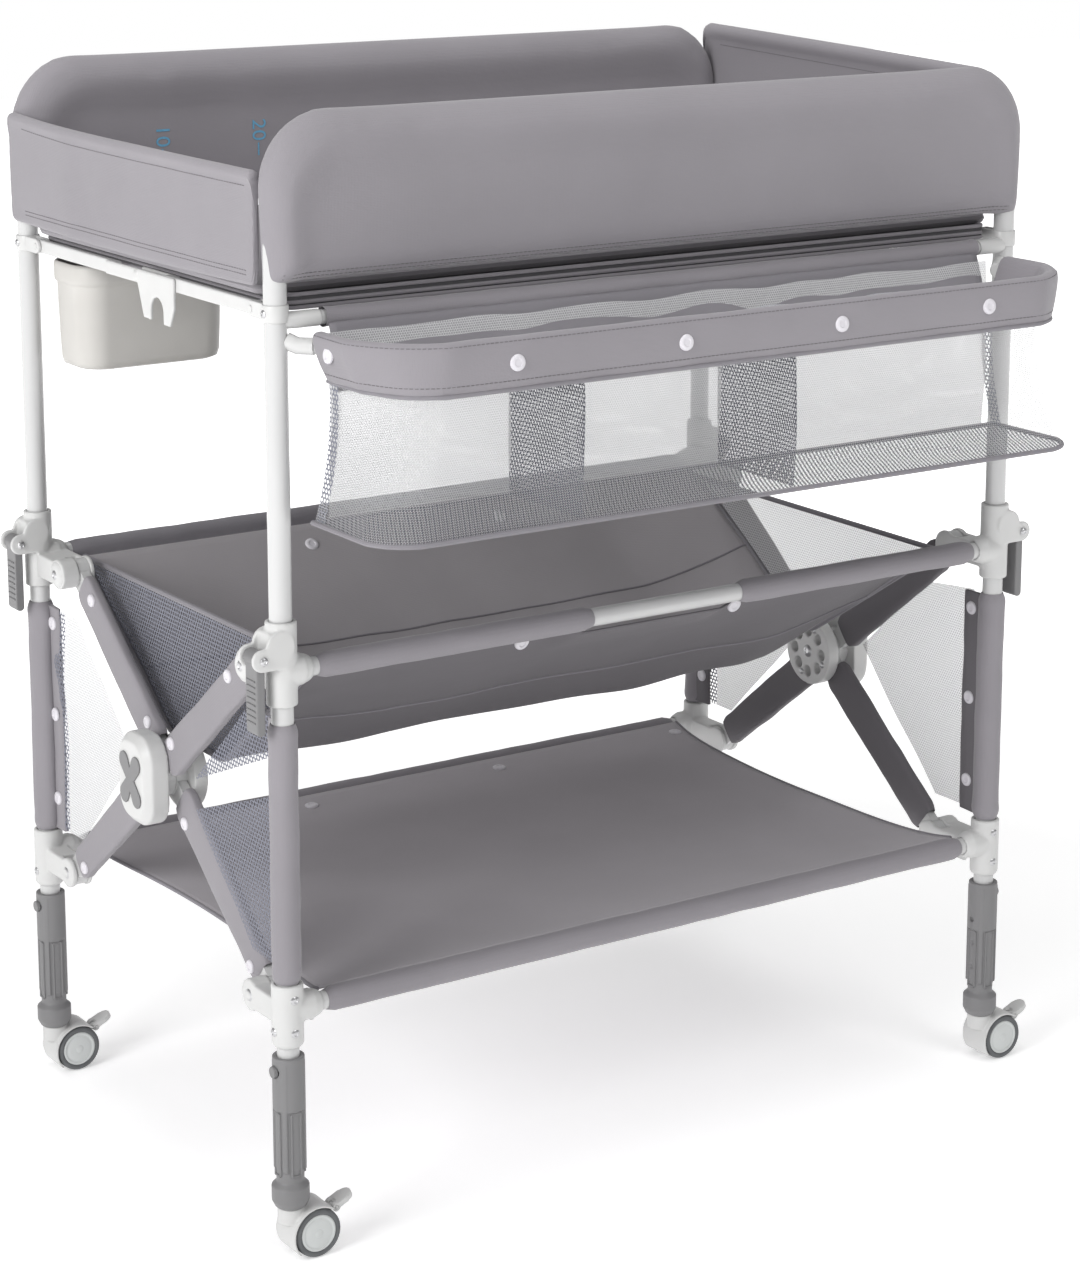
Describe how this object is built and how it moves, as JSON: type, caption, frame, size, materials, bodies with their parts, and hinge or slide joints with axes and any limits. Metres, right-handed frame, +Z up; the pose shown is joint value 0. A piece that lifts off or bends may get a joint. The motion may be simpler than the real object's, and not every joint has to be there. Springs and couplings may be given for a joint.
{
  "type": "folding changing table",
  "caption": "Folding baby changing table on braked casters: padded bed on two tube frames, X braces, tray with net pockets, sling basket, shelf and basin.",
  "frame": {"origin": "on the floor at the centre of the bounding box", "axes": "+X to the table's right seen from the front, +Y to the rear, +Z up; the tray is on the -Y side"},
  "size_m": [0.8512, 0.6266, 0.967],
  "materials": {
    "tube_white": "satin white powder coat",
    "plastic_white": "satin moulded",
    "plastic_grey": "fine moulded texture",
    "wheel_grey": "satin",
    "fabric_grey": "plain fine weave, coated",
    "fabric_dark": "plain fine weave, coated",
    "net": "knitted hexagonal net",
    "basin_white": "smooth satin"
  },
  "bodies": {
    "rear_frame": {"rear_frame_tube": "tube_white", "rear_pad": "fabric_grey", "rear_leg_joints": "plastic_white", "rear_bottom_rail": "tube_white", "rear_leg_sleeves": "fabric_grey", "rear_stay_brackets": "plastic_white", "bed_base": "fabric_dark", "end_wall_left": "fabric_grey", "end_wall_right": "fabric_grey", "lower_shelf": "fabric_dark"},
    "front_frame": {"front_frame_tube": "tube_white", "front_pad": "fabric_grey", "front_leg_joints": "plastic_white", "front_bottom_rail": "tube_white", "front_leg_sleeves": "fabric_grey", "front_tray_brackets": "plastic_white", "tray_rim": "tube_white", "tray_band": "fabric_grey", "pocket_net": "net"},
    "rising_pair": {"rising_braces": "tube_white", "rising_brace_sleeves": "fabric_grey", "hub_caps": "plastic_white", "hub_badges": "plastic_grey"},
    "falling_pair": {"falling_braces": "tube_white", "falling_brace_sleeves": "fabric_grey", "hub_backs": "plastic_white"},
    "front_slider": {"front_collars": "plastic_white", "front_basket_rail": "tube_white", "front_rail_wraps": "fabric_grey"},
    "rear_slider": {"rear_collars": "plastic_white", "rear_basket_rail": "tube_white", "basket_sling": "fabric_dark", "side_nets": "net"},
    "rear_stay_pair": {"rear_stays": "tube_white"},
    "front_stay_pair": {"front_stays": "tube_white"},
    "basin": {"basin": "basin_white"},
    "lever_front_left": {"lever_front_left": "plastic_grey"},
    "foot_front_left": {"foot_front_left": "plastic_grey"},
    "button_front_left": {"button_front_left": "plastic_white"},
    "fork_front_left": {"fork_front_left": "plastic_white"},
    "wheels_front_left": {"wheels_front_left": "wheel_grey"},
    "pedal_front_left": {"pedal_front_left": "plastic_white"},
    "lever_front_right": {"lever_front_right": "plastic_grey"},
    "foot_front_right": {"foot_front_right": "plastic_grey"},
    "button_front_right": {"button_front_right": "plastic_white"},
    "fork_front_right": {"fork_front_right": "plastic_white"},
    "wheels_front_right": {"wheels_front_right": "wheel_grey"},
    "pedal_front_right": {"pedal_front_right": "plastic_white"},
    "lever_rear_left": {"lever_rear_left": "plastic_grey"},
    "foot_rear_left": {"foot_rear_left": "plastic_grey"},
    "button_rear_left": {"button_rear_left": "plastic_white"},
    "fork_rear_left": {"fork_rear_left": "plastic_white"},
    "wheels_rear_left": {"wheels_rear_left": "wheel_grey"},
    "pedal_rear_left": {"pedal_rear_left": "plastic_white"},
    "lever_rear_right": {"lever_rear_right": "plastic_grey"},
    "foot_rear_right": {"foot_rear_right": "plastic_grey"},
    "button_rear_right": {"button_rear_right": "plastic_white"},
    "fork_rear_right": {"fork_rear_right": "plastic_white"},
    "wheels_rear_right": {"wheels_rear_right": "wheel_grey"},
    "pedal_rear_right": {"pedal_rear_right": "plastic_white"}
  },
  "joints": [
    {"name": "fold", "type": "hinge", "parent": "rear_frame", "child": "rising_pair", "pos_m": [-0.01225, 0.24025, 0.216], "axis": [-1, 0, 0], "range_deg": [0, 47], "deforming": ["basket_sling", "side_nets", "bed_base", "end_wall_left", "end_wall_right", "lower_shelf"]},
    {"name": "brace_cross", "type": "hinge", "parent": "rising_pair", "child": "falling_pair", "pos_m": [-0.01225, 0.06075, 0.3595], "axis": [-1, 0, 0], "range_deg": [-94, 0]},
    {"name": "front_frame_level", "type": "hinge", "parent": "falling_pair", "child": "front_frame", "pos_m": [-0.01225, -0.11875, 0.216], "axis": [-1, 0, 0], "range_deg": [0, 47]},
    {"name": "front_slider_level", "type": "hinge", "parent": "rising_pair", "child": "front_slider", "pos_m": [-0.01225, -0.11875, 0.503], "axis": [-1, 0, 0], "range_deg": [-47, 0]},
    {"name": "rear_slider_level", "type": "hinge", "parent": "falling_pair", "child": "rear_slider", "pos_m": [-0.01225, 0.24025, 0.503], "axis": [-1, 0, 0], "range_deg": [0, 47]},
    {"name": "rear_stay_lift", "type": "hinge", "parent": "rear_frame", "child": "rear_stay_pair", "pos_m": [-0.01225, 0.26475, 0.803], "axis": [-1, 0, 0], "range_deg": [0, 78.15]},
    {"name": "front_stay_lift", "type": "hinge", "parent": "front_frame", "child": "front_stay_pair", "pos_m": [-0.01225, -0.14325, 0.803], "axis": [-1, 0, 0], "range_deg": [-78.15, 0]},
    {"name": "basin_pull", "type": "slide", "parent": "rear_frame", "child": "basin", "axis": [-1, 0, 0], "range_m": [0, 0.12]},
    {"name": "lever_front_left_release", "type": "hinge", "parent": "front_slider", "child": "lever_front_left", "pos_m": [-0.41575, -0.17275, 0.525], "axis": [0, 1, 0], "range_deg": [0, 35]},
    {"name": "foot_front_left_height", "type": "slide", "parent": "front_frame", "child": "foot_front_left", "axis": [0, 0, -1], "range_m": [0, 0.072]},
    {"name": "button_front_left_press", "type": "slide", "parent": "foot_front_left", "child": "button_front_left", "axis": [1, 0, 0], "range_m": [0, 0.002], "stiffness_N_per_m": 400},
    {"name": "caster_front_left_swivel", "type": "hinge", "parent": "foot_front_left", "child": "fork_front_left", "pos_m": [-0.39225, -0.17275, 0.046], "axis": [0, 0, 1], "continuous": true},
    {"name": "wheels_front_left_roll", "type": "hinge", "parent": "fork_front_left", "child": "wheels_front_left", "pos_m": [-0.37425, -0.17275, 0.0215], "axis": [0, 1, 0], "continuous": true},
    {"name": "pedal_front_left_brake", "type": "hinge", "parent": "fork_front_left", "child": "pedal_front_left", "pos_m": [-0.35225, -0.17275, 0.036], "axis": [0, 1, 0], "range_deg": [0, 18]},
    {"name": "lever_front_right_release", "type": "hinge", "parent": "front_slider", "child": "lever_front_right", "pos_m": [0.39125, -0.17275, 0.525], "axis": [0, -1, 0], "range_deg": [0, 35]},
    {"name": "foot_front_right_height", "type": "slide", "parent": "front_frame", "child": "foot_front_right", "axis": [0, 0, -1], "range_m": [0, 0.072]},
    {"name": "button_front_right_press", "type": "slide", "parent": "foot_front_right", "child": "button_front_right", "axis": [-1, 0, 0], "range_m": [0, 0.002], "stiffness_N_per_m": 400},
    {"name": "caster_front_right_swivel", "type": "hinge", "parent": "foot_front_right", "child": "fork_front_right", "pos_m": [0.36775, -0.17275, 0.046], "axis": [0, 0, 1], "continuous": true},
    {"name": "wheels_front_right_roll", "type": "hinge", "parent": "fork_front_right", "child": "wheels_front_right", "pos_m": [0.38575, -0.17275, 0.0215], "axis": [0, 1, 0], "continuous": true},
    {"name": "pedal_front_right_brake", "type": "hinge", "parent": "fork_front_right", "child": "pedal_front_right", "pos_m": [0.40775, -0.17275, 0.036], "axis": [0, 1, 0], "range_deg": [0, 18]},
    {"name": "lever_rear_left_release", "type": "hinge", "parent": "rear_slider", "child": "lever_rear_left", "pos_m": [-0.41575, 0.29425, 0.525], "axis": [0, 1, 0], "range_deg": [0, 35]},
    {"name": "foot_rear_left_height", "type": "slide", "parent": "rear_frame", "child": "foot_rear_left", "axis": [0, 0, -1], "range_m": [0, 0.072]},
    {"name": "button_rear_left_press", "type": "slide", "parent": "foot_rear_left", "child": "button_rear_left", "axis": [1, 0, 0], "range_m": [0, 0.002], "stiffness_N_per_m": 400},
    {"name": "caster_rear_left_swivel", "type": "hinge", "parent": "foot_rear_left", "child": "fork_rear_left", "pos_m": [-0.39225, 0.29425, 0.046], "axis": [0, 0, 1], "continuous": true},
    {"name": "wheels_rear_left_roll", "type": "hinge", "parent": "fork_rear_left", "child": "wheels_rear_left", "pos_m": [-0.37425, 0.29425, 0.0215], "axis": [0, 1, 0], "continuous": true},
    {"name": "pedal_rear_left_brake", "type": "hinge", "parent": "fork_rear_left", "child": "pedal_rear_left", "pos_m": [-0.35225, 0.29425, 0.036], "axis": [0, 1, 0], "range_deg": [0, 18]},
    {"name": "lever_rear_right_release", "type": "hinge", "parent": "rear_slider", "child": "lever_rear_right", "pos_m": [0.39125, 0.29425, 0.525], "axis": [0, -1, 0], "range_deg": [0, 35]},
    {"name": "foot_rear_right_height", "type": "slide", "parent": "rear_frame", "child": "foot_rear_right", "axis": [0, 0, -1], "range_m": [0, 0.072]},
    {"name": "button_rear_right_press", "type": "slide", "parent": "foot_rear_right", "child": "button_rear_right", "axis": [-1, 0, 0], "range_m": [0, 0.002], "stiffness_N_per_m": 400},
    {"name": "caster_rear_right_swivel", "type": "hinge", "parent": "foot_rear_right", "child": "fork_rear_right", "pos_m": [0.36775, 0.29425, 0.046], "axis": [0, 0, 1], "continuous": true},
    {"name": "wheels_rear_right_roll", "type": "hinge", "parent": "fork_rear_right", "child": "wheels_rear_right", "pos_m": [0.38575, 0.29425, 0.0215], "axis": [0, 1, 0], "continuous": true},
    {"name": "pedal_rear_right_brake", "type": "hinge", "parent": "fork_rear_right", "child": "pedal_rear_right", "pos_m": [0.40775, 0.29425, 0.036], "axis": [0, 1, 0], "range_deg": [0, 18]}
  ],
  "couplings": [
    {"joint": "brace_cross", "follows": "fold", "ratio": -2},
    {"joint": "front_frame_level", "follows": "fold", "ratio": 1},
    {"joint": "front_slider_level", "follows": "fold", "ratio": -1},
    {"joint": "rear_slider_level", "follows": "fold", "ratio": 1},
    {"joint": "rear_stay_lift", "follows": "fold", "ratio": 1.6623},
    {"joint": "front_stay_lift", "follows": "fold", "ratio": -1.6623}
  ]
}
